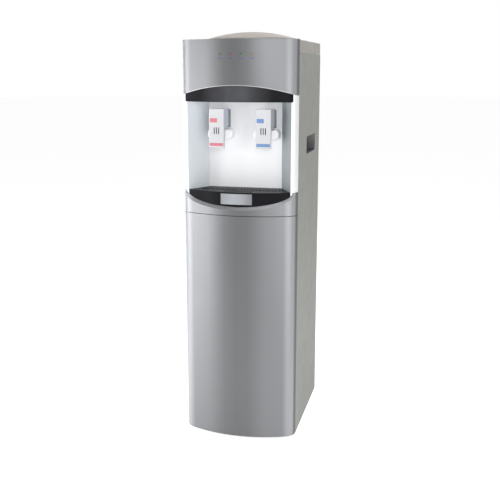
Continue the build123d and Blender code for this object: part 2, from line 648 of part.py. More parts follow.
def indicator_board():
    width, thickness, height = BOARD_SIZE
    return block(LENS_MIDDLE - width / 2, LENS_MIDDLE + width / 2, BOARD_FRONT, BOARD_FRONT + thickness,
                 LENS_HEIGHT - height / 2, LENS_HEIGHT + height / 2)


def indicator_lenses():
    group = []
    for x in LENS_XS:
        tip = bow_y(x, 0) - LENS_PROUD
        lens = along_y(x, LENS_HEIGHT, tip, BOARD_FRONT, LENS_RADIUS)
        front = lens.edges().sort_by(Axis.Y)[0]
        group.append(fillet(front, LENS_RADIUS / 2))
    return Compound(group)


def recess_housing():
    bottom = RIM_MIDDLE
    back = RECESS_BACK_Y + WALL
    box = prism(flared_plan(WALL, CORNER_Y, back), bottom - 2 * WALL, RECESS_CEILING + WALL)
    box &= over_rim(WALL)
    cheeks = prism(bow_plan(0, FRONT_BACK_Y), RIM_MIDDLE, ARCH_MIDDLE)
    cheeks = cheeks & block(-HALF, HALF, CORNER_Y, JOINT_Y, 0, FAR)
    cheeks &= over_rim(-FIT)
    cheeks = cheeks - over_arch(block(-FAR, FAR, -FAR, FAR, 0, FAR), ARCH_MIDDLE - FIT)
    roof = prism(bow_plan(2 * WALL + 2 * FIT, CORNER_Y + WALL), RECESS_CEILING, RECESS_CEILING + WALL)
    fascia_space = block(-HALF, HALF, -FAR, FRONT_BACK_Y + FIT, 0, FAR) - over_rim(-FIT)
    body = box + cheeks + roof - fascia_space
    cavity = prism(flared_plan(0, CORNER_Y - WALL, RECESS_BACK_Y), 0, RECESS_CEILING)
    body -= cavity & over_rim(0)
    pocket = bow_plan(WALL, FAR) & (Pos(0, CORNER_Y + WALL + FAR / 2) * Rectangle(FAR, FAR))
    pocket -= flared_plan(WALL, CORNER_Y, back)
    edge_z = TRAY_TOP + CHEEK_END
    body -= prism(pocket, edge_z, VISOR_BOTTOM - WALL) & block(-HALF, HALF, -FAR, JOINT_Y, 0, FAR)
    for x in TAPS.values():
        body -= along_y(x, STUB_Z, CORNER_Y, 0, FAUCET_STUB[0] + FIT)
    return body


# ---- taps ---------------------------------------------------------------------------------------
def paddle(x):
    half = PADDLE_WIDTH / 2
    front = PADDLE_Y
    bottom = PADDLE_BOTTOM
    knee = PADDLE_TOP - PADDLE_CHEEK_HEIGHT
    deep = front + PADDLE_CHEEK_DEPTH
    lip = front + PADDLE_LIP
    side_outline = [(front, bottom), (lip, bottom), (lip, knee - PADDLE_LIP), (deep, knee),
                    (deep, PADDLE_TOP), (front, PADDLE_TOP)]
    profile = make_face(Polyline(*side_outline, close=True))
    solid = Pos(x - half, 0, 0) * extrude(Plane.YZ * profile, PADDLE_WIDTH)
    rounded = [edge for edge in solid.edges() if edge.center().Y < front + PAST]
    solid = fillet(rounded, PADDLE_WALL - FIT)
    wall = PADDLE_WALL
    hollow_side = [(front + wall, bottom + wall), (FAR, bottom + wall), (FAR, PADDLE_TOP - wall),
                   (front + wall, PADDLE_TOP - wall)]
    hollow = make_face(Polyline(*hollow_side, close=True))
    solid -= Pos(x - half + wall, 0, 0) * extrude(Plane.YZ * hollow, PADDLE_WIDTH - 2 * wall)
    for step in range(SLOT_COUNT):
        slot_x = x + (step - (SLOT_COUNT - 1) / 2) * SLOT_PITCH
        slot = Plane.XZ * (Rot(0, 0, 90) * SlotOverall(SLOT_SIZE[1], SLOT_SIZE[0]))
        solid -= Pos(slot_x, front - PAST, SLOT_HEIGHT) * extrude(slot, -2 * wall)
    return solid - along_x(PIVOT_Y, PIVOT_Z, x - half - PAST, x + half + PAST, PIVOT_PIN_RADIUS + PIN_FIT)


def paddle_marks(x):
    front = PADDLE_Y
    label_x, label_z = LABEL_PLACE
    label = block(x + label_x - LABEL_SIZE[0] / 2, x + label_x + LABEL_SIZE[0] / 2,
                  front - MARK_THICKNESS, front,
                  label_z - LABEL_SIZE[1] / 2, label_z + LABEL_SIZE[1] / 2)
    strip = block(x - STRIP_SIZE[0] / 2, x + STRIP_SIZE[0] / 2, front - MARK_THICKNESS, front,
                  STRIP_HEIGHT, STRIP_HEIGHT + STRIP_SIZE[1])
    return Compound([label, strip])


def nozzle_block(x, front, back):
    """Rounded moulding that carries the nozzle, from its front to the wall of the recess."""
    width, height = NOZZLE_BLOCK
    bottom = NOZZLE_BOTTOM + NOZZLE_BLOCK_RISE
    body = block(x - width / 2, x + width / 2, front, back, bottom, bottom + height)
    body = fillet(body.edges().filter_by(Axis.Y), NOZZLE_BLOCK_ROUND)
    return fillet(body.edges().group_by(Axis.Y)[0], PADDLE_ROUND)


def faucet(x):
    half = FAUCET_WIDTH / 2
    front = PADDLE_Y + PADDLE_WALL + FAUCET_FRONT_GAP
    back = RECESS_BACK_Y - FIT
    low = FAUCET_TOP - FAUCET_HEIGHT
    body = block(x - half, x + half, front, back, low, FAUCET_TOP)
    body = fillet(body.edges().filter_by(Axis.Y), PADDLE_ROUND)
    body += along_x(PIVOT_Y, PIVOT_Z, x - half, x + half, EAR_RADIUS)
    body += block(x - half, x + half, PIVOT_Y - EAR_NECK, PIVOT_Y + EAR_NECK, STUB_Z, PIVOT_Z)
    nozzle_y = PADDLE_Y + NOZZLE_BEHIND_FACE
    nozzle = upright(x, nozzle_y, NOZZLE_BOTTOM, low + PADDLE_ROUND, NOZZLE_RADIUS)
    nozzle = fillet(nozzle.edges().sort_by(Axis.Z)[0], NOZZLE_BLOCK_RISE)
    moulding = nozzle_block(x, nozzle_y - NOZZLE_RADIUS, back)
    width, height, thick = FAUCET_FLANGE
    flange = block(x - width / 2, x + width / 2, back - thick, back,
                   STUB_Z - height / 2, STUB_Z + height / 2)
    flange = fillet(flange.edges().filter_by(Axis.Y), PADDLE_ROUND)
    stub = along_y(x, STUB_Z, back - thick, STUB_END, FAUCET_STUB[0])
    barb = upright(x, BARB_Y, BARB_BOTTOM, STUB_Z, BARB_RADIUS)
    body = body + nozzle + moulding + flange + stub + barb
    body -= upright(x, nozzle_y, NOZZLE_BOTTOM - PAST, STUB_Z, NOZZLE_BORE)
    body -= along_y(x, STUB_Z, nozzle_y, BARB_Y, HOSE_BORE)
    body -= upright(x, BARB_Y, BARB_BOTTOM - PAST, STUB_Z, BARB_BORE)
    return body - along_x(PIVOT_Y, PIVOT_Z, x - half - PAST, x + half + PAST, PIVOT_PIN_RADIUS + PIN_FIT)


def paddle_pins():
    half = PADDLE_WIDTH / 2
    pins = [along_x(PIVOT_Y, PIVOT_Z, x - half, x + half, PIVOT_PIN_RADIUS) for x in TAPS.values()]
    return Compound(pins)


def paddle_spring(x):
    front = PADDLE_Y + PADDLE_WALL
    back = front + FAUCET_FRONT_GAP
    outer = along_y(x, SPRING_HEIGHT, front + FIT, back, SPRING_RADIUS)
    return outer - along_y(x, SPRING_HEIGHT, front, back + PAST, SPRING_RADIUS - SPRING_WIRE)


# ---- drip tray ----------------------------------------------------------------------------------
def tray_plan(inset):
    """Plan of the tray, drawn in by a further inset on every side."""
    back = RECESS_BACK_Y - TRAY_SIDE_GAP - inset
    front = bow_plan(RIM_IN + TRAY_GAP + inset, back)
    behind = flared_plan(-TRAY_SIDE_GAP - inset, CORNER_Y - BOW, back)
    width = 2 * (RIM_HALF - TRAY_SIDE_GAP - inset)
    return front & behind & (Pos(0, CORNER_Y) * Rectangle(width, BODY_DEPTH))


def drip_tray():
    outer = prism(tray_plan(0), RIM_MIDDLE, TRAY_TOP) & over_rim(-TRAY_GAP)
    basin = prism(tray_plan(TRAY_WALL), RIM_MIDDLE, LEDGE_Z) & over_rim(-TRAY_GAP - WALL)
    seat = prism(tray_plan(TRAY_WALL - TRAY_LEDGE), LEDGE_Z, FAR)
    tray = outer - basin - seat
    pocket = prism(bow_plan(RIM_IN + TRAY_GAP, CORNER_Y), INLAY_BOTTOM - FIT, INLAY_TOP + FIT)
    pocket -= prism(bow_plan(RIM_IN + TRAY_GAP + INLAY_THICKNESS, CORNER_Y), 0, FAR)
    half = INLAY_WIDTH / 2 + FIT
    return tray - (pocket & block(-half, half, FRONT_Y, CORNER_Y, 0, FAR))


def tray_inlay():
    plate = prism(bow_plan(RIM_IN + TRAY_GAP - INLAY_PROUD, CORNER_Y), INLAY_BOTTOM, INLAY_TOP)
    plate -= prism(bow_plan(RIM_IN + TRAY_GAP + INLAY_THICKNESS - CLOSE_FIT, CORNER_Y), 0, FAR)
    return plate & block(-INLAY_WIDTH / 2, INLAY_WIDTH / 2, FRONT_Y, CORNER_Y, 0, FAR)


def drip_grille():
    edge = TRAY_WALL - TRAY_LEDGE + FIT
    plate = prism(tray_plan(edge), LEDGE_Z, LEDGE_Z + GRILLE_THICKNESS)
    zone = prism(tray_plan(edge + GRILLE_MARGIN), 0, FAR)
    width, length = GRILLE_SLOT
    pitch_x, pitch_y = GRILLE_PITCH
    columns = int(RECESS_HALF_FRONT / pitch_x)
    first_row = RECESS_BACK_Y - GRILLE_MARGIN - length / 2
    slot = Rot(0, 0, 90) * SlotOverall(length, width)
    for row in range(GRILLE_ROWS):
        y = first_row - row * pitch_y
        for column in range(-columns, columns + 1):
            cutter = prism(Pos(column * pitch_x, y) * slot, 0, FAR)
            corners = [Vector(column * pitch_x + dx * width, y + dy * length / 2, TRAY_TOP)
                       for dx in (-1, 1) for dy in (-1, 1)]
            if all(zone.is_inside(corner) for corner in corners):
                plate -= cutter
    return plate


# ---- top ----------------------------------------------------------------------------------------
def top_cover():
    cap = block(-HALF, HALF, JOINT_Y, BACK_Y, CAP_BOTTOM, BODY_TOP)
    back_corners = cap.edges().filter_by(Axis.Z).sort_by(Axis.Y)[-2:]
    cap = fillet(back_corners, CAP_ROUND)
    upper = [edge for edge in cap.edges() if edge.center().Z > BODY_TOP - PAST]
    rim = [edge for edge in upper if edge.center().Y > JOINT_Y + PAST]
    cap = fillet(rim, CAP_ROUND / 2)
    cap -= block(-HALF + WALL, HALF - WALL, -FAR, BACK_Y - WALL, 0, BODY_TOP - CAP_PLATE)
    front = prism(bow_plan(WALL + FIT, JOINT_Y), BODY_TOP - CAP_PLATE, BODY_TOP)
    cap = cap + front
    drop, reach = CAP_LIP
    for side in (-1, 1):
        outer = side * (HALF - SHEET - FIT)
        inner = outer - side * drop
        x0, x1 = sorted((outer, inner))
        cap += block(x0, x1, JOINT_Y + BOW, REAR_Y, CAP_BOTTOM - reach, CAP_BOTTOM + WALL)
    cap += upright(0, 0, BODY_TOP - CAP_PLATE, BODY_TOP + COLLAR_HEIGHT, COLLAR_RADIUS)
    return cap - upright(0, 0, 0, FAR, COLLAR_RADIUS - COLLAR_WALL)


def dome(radius, base, rim, rise):
    """Flat cylinder with a domed top."""
    sphere_radius = (radius ** 2 + rise ** 2) / (2 * rise)
    top = base + rim + rise
    ball = Pos(0, 0, top - sphere_radius) * Sphere(sphere_radius)
    return upright(0, 0, base, top, radius) & ball


def top_lid():
    outer = dome(LID_RADIUS, LID_BOTTOM, LID_RIM, LID_DOME)
    edge = [item for item in outer.edges() if item.center().Z > LID_BOTTOM + PAST]
    outer = fillet(edge, LID_WALL)
    inner = dome(LID_RADIUS - LID_WALL, LID_BOTTOM - LID_WALL, LID_RIM, LID_DOME)
    return outer - inner


# ---- cold, hot and pumped water -----------------------------------------------------------------
def return_top():
    """Plan place where the winding's lower end leaves the insulation."""
    return WINDING_CENTRE, TANK_Y


def cold_tank():
    outer = upright(0, TANK_Y, TANK_BOTTOM, TANK_BOTTOM + TANK_HEIGHT, TANK_RADIUS)
    inner = upright(0, TANK_Y, TANK_BOTTOM + TANK_WALL, TANK_BOTTOM + TANK_HEIGHT - TANK_WALL,
                    TANK_RADIUS - TANK_WALL)
    return outer - inner


def tank_insulation():
    top = TANK_BOTTOM + TANK_HEIGHT + FOAM_THICKNESS
    outer = upright(0, TANK_Y, FOAM_BOTTOM, top, FOAM_OUTER)
    inner = upright(0, TANK_Y, TANK_BOTTOM, TANK_BOTTOM + TANK_HEIGHT, FOAM_INNER)
    foam = outer - inner
    for place in (SUPPLY_XY, COLD_OUTLET):
        foam -= upright(*place, 0, TANK_BOTTOM + PAST, HOSE_RADIUS + FIT)
    return foam - upright(*return_top(), 0, TANK_BOTTOM + PAST, WINDING_RADIUS + FIT)


def evaporator_coil():
    path = Helix(WINDING_PITCH, WINDING_TURNS * WINDING_PITCH, WINDING_CENTRE)
    coil = sweep(Plane(path @ 0, z_dir=path % 0) * Circle(WINDING_RADIUS), path)
    return Pos(0, TANK_Y, WINDING_BOTTOM) * coil


def hot_tank():
    x, y, radius, height = HOT_TANK
    outer = upright(x, y, SHELF_TOP, SHELF_TOP + height, radius)
    outer = fillet(outer.edges().sort_by(Axis.Z)[-1], PADDLE_ROUND)
    inner = upright(x, y, SHELF_TOP + WALL, SHELF_TOP + height - WALL, radius - WALL)
    return outer - inner


def pump():
    x, y = PUMP_PLACE
    width, depth, height = PUMP_BODY
    body = block(x - width / 2, x + width / 2, y - depth / 2, y + depth / 2, SHELF_TOP, SHELF_TOP + height)
    radius, length = PUMP_MOTOR
    motor = along_x(y, SHELF_TOP + height / 2, x - width / 2 - length, x - width / 2, radius)
    return fillet(body.edges().filter_by(Axis.Z), PADDLE_ROUND) + motor


def control_board():
    thickness, depth, height = BOARD_CONTROL
    y, z = BOARD_CONTROL_PLACE
    gap, radius = STANDOFF[1], STANDOFF[0]
    face = -HALF + SHEET + gap
    board = block(face, face + thickness, y, y + depth, z, z + height)
    for dy in (radius, depth - radius):
        for dz in (radius, height - radius):
            board += along_x(y + dy, z + dz, -HALF + SHEET, face, radius)
    side, tall = RELAY
    outside = face + thickness
    board += block(outside, outside + tall, y + depth - 2 * side, y + depth - side, z + side, z + 2 * side)
    can, length = CAPACITOR
    return board + along_x(y + side, z + height / 2, outside, outside + length, can)


# ---- refrigeration ------------------------------------------------------------------------------
def compressor():
    x, y, radius, height = COMPRESSOR
    base = COMPRESSOR_BASE
    outer = upright(x, y, base, base + height, radius)
    outer = fillet(outer.edges(), COMPRESSOR_ROUND)
    inner = upright(x, y, base + COMPRESSOR_WALL, base + height - COMPRESSOR_WALL, radius - COMPRESSOR_WALL)
    outer -= fillet(inner.edges(), COMPRESSOR_ROUND - COMPRESSOR_WALL)
    width, depth, thick = COMPRESSOR_PLATE
    plate = block(x - width / 2, x + width / 2, y - depth / 2, y + depth / 2, base - thick, base + thick)
    return outer + plate


def compressor_grommets():
    x, y, _, _ = COMPRESSOR
    radius, height = GROMMET
    half_x = COMPRESSOR_PLATE[0] / 2 - radius
    half_y = COMPRESSOR_PLATE[1] / 2 - radius
    places = [(x + i * half_x, y + j * half_y) for i in (-1, 1) for j in (-1, 1)]
    return Compound([upright(*place, SHELF_TOP, SHELF_TOP + height, radius) for place in places])


def filter_drier():
    body = upright(RETURN_X, DRIER_Y, SHELF_TOP, DRIER_TOP, DRIER_RADIUS)
    return fillet(body.edges(), DRIER_RADIUS / 2)


def condenser_tube():
    x = CONDENSER_HALF
    y = CONDENSER_Y
    start = (COMPRESSOR[0] + DISCHARGE_PLACE[0], COMPRESSOR[1] + DISCHARGE_PLACE[1])
    points = [(*start, COMPRESSOR_TOP), (*start, TUBE_LIFT), (x, start[1], TUBE_LIFT), (x, y, TUBE_LIFT)]
    side = 1
    for z in reversed(CONDENSER_ROWS):
        points += [(side * x, y, z), (-side * x, y, z)]
        side = -side
    exit_z = DRIER_TOP + CONDENSER_BEND
    points[-1] = (RETURN_X, y, CONDENSER_ROWS[0])
    points += [(RETURN_X, y, exit_z), (RETURN_X, DRIER_Y, exit_z), (RETURN_X, DRIER_Y, DRIER_TOP)]
    bends = [CONDENSER_BEND / 2] * (len(points) - 2)
    first_turn = 4
    for turn in range(first_turn, first_turn + 2 * (CONDENSER_RUNS - 1)):
        bends[turn] = CONDENSER_BEND
    return tube(points, bends, TUBE_RADIUS)


def wire_steps():
    """How many wires stand on each side of the middle one."""
    return int((CONDENSER_HALF - CONDENSER_BEND) / WIRE_PITCH)


def condenser_wires():
    offset = TUBE_RADIUS + WIRE_RADIUS + CLOSE_FIT
    bottom = CONDENSER_ROWS[0] - WIRE_OVERHANG
    top = CONDENSER_ROWS[-1] + WIRE_OVERHANG
    group = []
    for step in range(-wire_steps(), wire_steps() + 1):
        for side in (-1, 1):
            group.append(upright(step * WIRE_PITCH, CONDENSER_Y + side * offset, bottom, top, WIRE_RADIUS))
    return Compound(group)


def condenser_mounts():
    """Clips between two wires that hold a run of the tube off the rear panel."""
    width, height = MOUNT_SIZE
    x = (wire_steps() - 1.5) * WIRE_PITCH
    group = []
    for side in (-1, 1):
        for row in (1, CONDENSER_RUNS - 2):
            z = CONDENSER_ROWS[row]
            left = side * x - width / 2
            post = block(left, left + width, REAR_Y + SHEET, CONDENSER_Y + 2 * TUBE_RADIUS,
                         z - height / 2, z + height / 2)
            bore = along_x(CONDENSER_Y, z, left - PAST, left + width + PAST, TUBE_RADIUS + PIN_FIT)
            group.append(post - bore)
    return Compound(group)


# ---- hoses, probe and rear fittings --------------------------------------------------------------
def suction_hose():
    x, y = PROBE_PLACE
    pump_x, pump_y = PUMP_PLACE
    inlet = pump_x + PUMP_BODY[0] / 2
    level = SHELF_TOP + PUMP_BODY[2] / 2
    aside = x + HOSE_SIDESTEP
    points = [(x, y, PROBE_TOP), (x, y, BAY_TOP + SHELF_FLANGE), (aside, y, level + HOSE_SIDESTEP),
              (aside, pump_y, level), (inlet, pump_y, level)]
    return tube(points, HOSE_BENDS, HOSE_RADIUS, HOSE_BORE)


def suction_probe():
    x, y = PROBE_PLACE
    stick = upright(x, y, PROBE_BOTTOM, PROBE_TOP, PROBE_RADIUS)
    radius, height = PROBE_CAP
    cap_bottom = PROBE_TOP - 2 * height
    cap = upright(x, y, cap_bottom, cap_bottom + height, radius)
    stick += fillet(cap.edges(), WALL)
    return stick - upright(x, y, PROBE_BOTTOM - PAST, PROBE_TOP + PAST, PROBE_BORE)


def probe_clip():
    x, y = PROBE_PLACE
    z = (PROBE_TOP + PROBE_BOTTOM) / 2
    arm = block(x - PROBE_RADIUS - WALL, x + PROBE_RADIUS + WALL, y, REAR_Y, z, z + CLIP_HEIGHT)
    return arm - upright(x, y, 0, FAR, PROBE_RADIUS + FIT)


def switch_bezel():
    width, height = BEZEL_WIDTH, BEZEL_HEIGHT
    x, z = SWITCH_PLACE
    outside = REAR_Y + SHEET
    plate = block(x - width / 2, x + width / 2, outside, outside + BEZEL_PLATE,
                  z - height / 2, z + height / 2)
    plate = fillet(plate.edges().filter_by(Axis.Y), PADDLE_ROUND)
    inset = WALL + 2 * FIT
    body = block(x - width / 2 + inset, x + width / 2 - inset, REAR_Y - SWITCH_SIZE[2], outside,
                 z - height / 2 + inset, z + height / 2 - inset)
    bezel = plate + body
    for switch_x in SWITCHES.values():
        half_x = SWITCH_SIZE[0] / 2 + SWITCH_GAP
        half_z = SWITCH_SIZE[1] / 2 + SWITCH_SWING_GAP
        bezel -= block(switch_x - half_x, switch_x + half_x, outside - SWITCH_SIZE[2], FAR,
                       z - half_z, z + half_z)
        for side in (-1, 1):
            tip = half_x - SWITCH_GAP - SWITCH_PIN
            x0, x1 = sorted((switch_x + side * half_x, switch_x + side * tip))
            bezel += along_x(outside - WALL, z, x0, x1, SWITCH_PIN_RADIUS)
    return bezel


def rocker(x):
    """Rocker that lies tilted about a pin across it, with a shallow vee on its face."""
    width, height, _ = SWITCH_SIZE
    z = SWITCH_PLACE[1]
    axis_y = REAR_Y + SHEET - WALL
    rise = WALL + BEZEL_PLATE + ROCKER_PROUD
    half = height / 2
    dip = half * sin(radians(SWITCH_TILT))
    foot = half - ROCKER_TAPER
    outline = [(-foot, 0), (foot, 0), (half, rise + dip), (0, rise), (-half, rise + dip)]
    face = make_face(Polyline(*outline, close=True))
    body = Pos(x - width / 2, 0, 0) * extrude(Plane.YZ * (Rot(0, 0, 90) * face), width)
    body = Pos(0, axis_y, z) * body
    body -= along_x(axis_y, z, x - width / 2 - PAST, x + width / 2 + PAST, SWITCH_PIN_RADIUS + PIN_FIT)
    tilt = Pos(0, axis_y, z) * Rot(SWITCH_TILT, 0, 0) * Pos(0, -axis_y, -z)
    return tilt * body


def drain_port():
    x, z = DRAIN_PLACE
    outside = REAR_Y + SHEET
    flange = along_y(x, z, outside, outside + WALL, DRAIN_RADIUS)
    spout = along_y(x, z, REAR_Y - DRAIN_PROUD, outside + DRAIN_PROUD, DRAIN_RADIUS - WALL)
    return flange + spout - along_y(x, z, -FAR, FAR, DRAIN_BORE)


def drain_plug():
    x, z = DRAIN_PLACE
    end = REAR_Y + SHEET + DRAIN_PROUD
    radius, thick = PLUG_FLANGE
    head = along_y(x, z, end + CLOSE_FIT, end + CLOSE_FIT + thick, radius)
    head = fillet(head.edges().sort_by(Axis.Y)[-1], WALL / 2)
    return head + along_y(x, z, end - PLUG_LENGTH, end + WALL, DRAIN_BORE - PIN_FIT)


def cord_gland():
    x, z = GLAND_PLACE
    outside = REAR_Y + SHEET
    flange = along_y(x, z, outside, outside + WALL, GLAND_RADIUS)
    neck = along_y(x, z, REAR_Y - WALL, outside, GLAND_RADIUS - WALL)
    nut = along_y(x, z, REAR_Y - 2 * WALL, REAR_Y, GLAND_RADIUS)
    return flange + neck + nut - along_y(x, z, -FAR, FAR, GLAND_BORE)


def water_hoses():
    """Supply hose from pump to cold tank, and one hose from each tank to its faucet."""
    supply = upright(*SUPPLY_XY, SHELF_TOP + PUMP_BODY[2], TANK_BOTTOM, HOSE_RADIUS)
    supply -= upright(*SUPPLY_XY, 0, FAR, HOSE_BORE)
    hot_x, hot_y, _, hot_height = HOT_TANK
    ends = {"hot": (hot_x, hot_y, SHELF_TOP + hot_height), "cold": (*COLD_OUTLET, TANK_BOTTOM)}
    group = [supply]
    for name, (end_x, end_y, end_z) in ends.items():
        x = TAPS[name]
        points = [(x, BARB_Y, BARB_BOTTOM), (x, BARB_Y, HOSE_RUN_HEIGHT),
                  (end_x, end_y, HOSE_RUN_HEIGHT), (end_x, end_y, end_z)]
        group.append(tube(points, [HOSE_BEND] * 2, HOSE_RADIUS, HOSE_BORE))
    return Compound(group)


def return_line():
    """Line from the winding's lower end to the top of the compressor."""
    x, y = return_top()
    stub_x = COMPRESSOR[0] + RETURN_STUB[0]
    stub_y = COMPRESSOR[1] + RETURN_STUB[1]
    points = [(x, y, WINDING_BOTTOM - WINDING_RADIUS - FIT), (x, y, RETURN_RUN),
              (stub_x, stub_y, RETURN_RUN), (stub_x, stub_y, COMPRESSOR_TOP)]
    return tube(points, [RETURN_BEND] * 2, WINDING_RADIUS)


def main():
    os.makedirs("parts", exist_ok=True)
    pieces = {
        "base_pan": base_pan(),
        "feet": feet(),
        "left_side_panel": side_panel(-1),
        "right_side_panel": side_panel(1),
        "left_grip_cup": grip_cup(-1),
        "right_grip_cup": grip_cup(1),
        "rear_panel": rear_panel(),
        "rear_screws": rear_screws(),
        "bay_frame": bay_frame(),
        "bottle_tray": bottle_tray(),
        "machine_shelf": machine_shelf(),
        "tank_shelf": tank_shelf(),
        "lower_hinge": lower_hinge(),
        "upper_hinge": upper_hinge(),
        "door_shell": door_shell(),
        "door_liner": door_liner(),
        "door_magnet": door_magnet(),
        "lower_fascia": lower_fascia(),
        "upper_fascia": upper_fascia(),
        "visor": visor(),
        "indicator_board": indicator_board(),
        "indicator_lenses": indicator_lenses(),
        "recess_housing": recess_housing(),
        "paddle_pins": paddle_pins(),
        "drip_tray": drip_tray(),
        "tray_inlay": tray_inlay(),
        "drip_grille": drip_grille(),
        "top_cover": top_cover(),
        "top_lid": top_lid(),
        "cold_tank": cold_tank(),
        "tank_insulation": tank_insulation(),
        "evaporator_coil": evaporator_coil(),
        "hot_tank": hot_tank(),
        "pump": pump(),
        "control_board": control_board(),
        "compressor": compressor(),
        "compressor_grommets": compressor_grommets(),
        "filter_drier": filter_drier(),
        "condenser_tube": condenser_tube(),
        "condenser_wires": condenser_wires(),
        "condenser_mounts": condenser_mounts(),
        "suction_hose": suction_hose(),
        "suction_probe": suction_probe(),
        "probe_clip": probe_clip(),
        "water_hoses": water_hoses(),
        "return_line": return_line(),
        "switch_bezel": switch_bezel(),
        "drain_port": drain_port(),
        "drain_plug": drain_plug(),
        "cord_gland": cord_gland(),
    }
    for name, x in TAPS.items():
        pieces[f"{name}_paddle"] = paddle(x)
        pieces[f"{name}_marks"] = paddle_marks(x)
        pieces[f"{name}_faucet"] = faucet(x)
        pieces[f"{name}_spring"] = paddle_spring(x)
    for name, x in SWITCHES.items():
        pieces[f"{name}_switch"] = rocker(x)
    for name, solid in pieces.items():
        export_step(solid, f"parts/{name}.step")


main()
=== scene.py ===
import math

import bmesh
import bpy
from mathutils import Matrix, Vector


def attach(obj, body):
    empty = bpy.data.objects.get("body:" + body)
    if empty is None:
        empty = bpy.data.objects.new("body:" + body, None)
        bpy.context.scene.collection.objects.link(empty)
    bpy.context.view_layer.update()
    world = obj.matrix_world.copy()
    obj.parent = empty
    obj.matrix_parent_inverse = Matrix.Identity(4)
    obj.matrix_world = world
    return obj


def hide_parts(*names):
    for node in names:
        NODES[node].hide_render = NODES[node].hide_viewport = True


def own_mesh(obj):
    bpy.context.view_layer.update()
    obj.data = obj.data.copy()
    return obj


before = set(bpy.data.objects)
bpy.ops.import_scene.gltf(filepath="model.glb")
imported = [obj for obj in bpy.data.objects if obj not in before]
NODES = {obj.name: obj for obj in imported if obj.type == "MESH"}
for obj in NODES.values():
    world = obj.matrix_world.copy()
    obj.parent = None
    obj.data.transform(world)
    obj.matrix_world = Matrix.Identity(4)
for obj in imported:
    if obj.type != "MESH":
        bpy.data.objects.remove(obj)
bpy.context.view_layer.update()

# ---- places and sizes of the cooler, in metres ---------------------------------------------------
HALF_WIDTH = 0.155

TAP_XS = {"hot": -0.063, "cold": 0.063}
PADDLE_FACE_Y = -0.146        # outside of the paddles' front wall
PADDLE_BACK_Y = -0.1434       # inside of that wall
SLOT_COUNT = 3                # slots in a paddle
SLOT_PITCH = 0.006
SLOT_HALF = (0.0015, 0.0093)  # half a slot's width and half its height
SLOT_Z = 0.839
SLOT_SKIP = 0.0002            # how far behind the face the slots' painted shade starts
FAUCET_SPLIT_Z = 0.8445       # above this, over the nozzle's moulding, the faucet's body is painted darker as shade

FLARE_SLOPE = 39 / 73         # the recess's half width lost per depth
FLARE_CORNER = (0.139, -0.156)  # a point on the right flared wall
FLARE_LEAN = FLARE_CORNER[0] + FLARE_CORNER[1] * FLARE_SLOPE
FLARE_DEPTHS = (-0.1555, -0.0835)  # where the walls' painted shade starts and ends
FLARE_WITHIN = 0.0008         # how near to the wall's plane a point counts as the wall

LENS_FIRST_X = -0.054         # left edge of the first lens's share of the row
LENS_PITCH = 0.028
LENS_ROW = 0.112
DASH_Z = 1.0243               # printed dashes under the lenses
DASH_HALF = (0.0062, 0.0011)

ARCH_RADIUS = 0.4883          # the upper fascia's lower edge
ARCH_TOP_Z = 0.9565
ARCH_HIGHLIGHT_EDGE = (0.0001, 0.0016)  # from that edge, where the painted highlight strip starts and ends

GRIP_SHADE = (0.785, 0.815)   # heights at which the grips' shade starts to fade and has faded
VISOR_SHEEN = (0.020, 0.095)  # from the middle, where the visor's sheen is full and where it has faded
INLAY_SHEEN = (0.010, 0.046)  # the same for the tray's inlay

SPRING_Z = 0.871
SPRING_ENDS = (-0.1430, -0.1344)
SPRING_TURNS = 5
SPRING_STEPS = 24             # points in a turn
SPRING_RADIUS = 0.0030
WIRE_RADIUS = 0.00042
WIRE_SIDES = 10

# a dark plate behind the slots stands in for their shade
SHADE_LOUVRE_SIZE = (0.024, 0.0007, 0.0205)
SHADE_LOUVRE_RIBS = 7
SHADE_LOUVRE_GAP = 0.0001           # to the inside of the paddle's wall

# ---- camera -------------------------------------------------------------------------------------
CAMERA_PLACE = (0.5246, -2.1427, 0.9929)
CAMERA_DOWN = 11.56           # degrees below level
CAMERA_LEFT = 13.97           # degrees turned left from facing the front squarely
CAMERA_SENSOR = 36
CAMERA_LENS = 56.68
CAMERA_SHIFT = -0.036


def make_camera():
    data = bpy.data.cameras.new("camera")
    camera = bpy.data.objects.new("camera", data)
    bpy.context.scene.collection.objects.link(camera)
    camera.location = CAMERA_PLACE
    camera.rotation_euler = (math.radians(90 - CAMERA_DOWN), 0, math.radians(CAMERA_LEFT))
    data.sensor_width = CAMERA_SENSOR
    data.lens = CAMERA_LENS
    data.shift_y = CAMERA_SHIFT
    bpy.context.scene.camera = camera


# ---- materials ----------------------------------------------------------------------------------
NOISE_RANGE = (0.3, 0.7)      # what a noise mostly stays within
DRIFT_RANGE = (0.35, 0.65)    # the same for the slow drift of a colour
SIDEWAYS = 0.8                # least X of the normal of a face that looks sideways


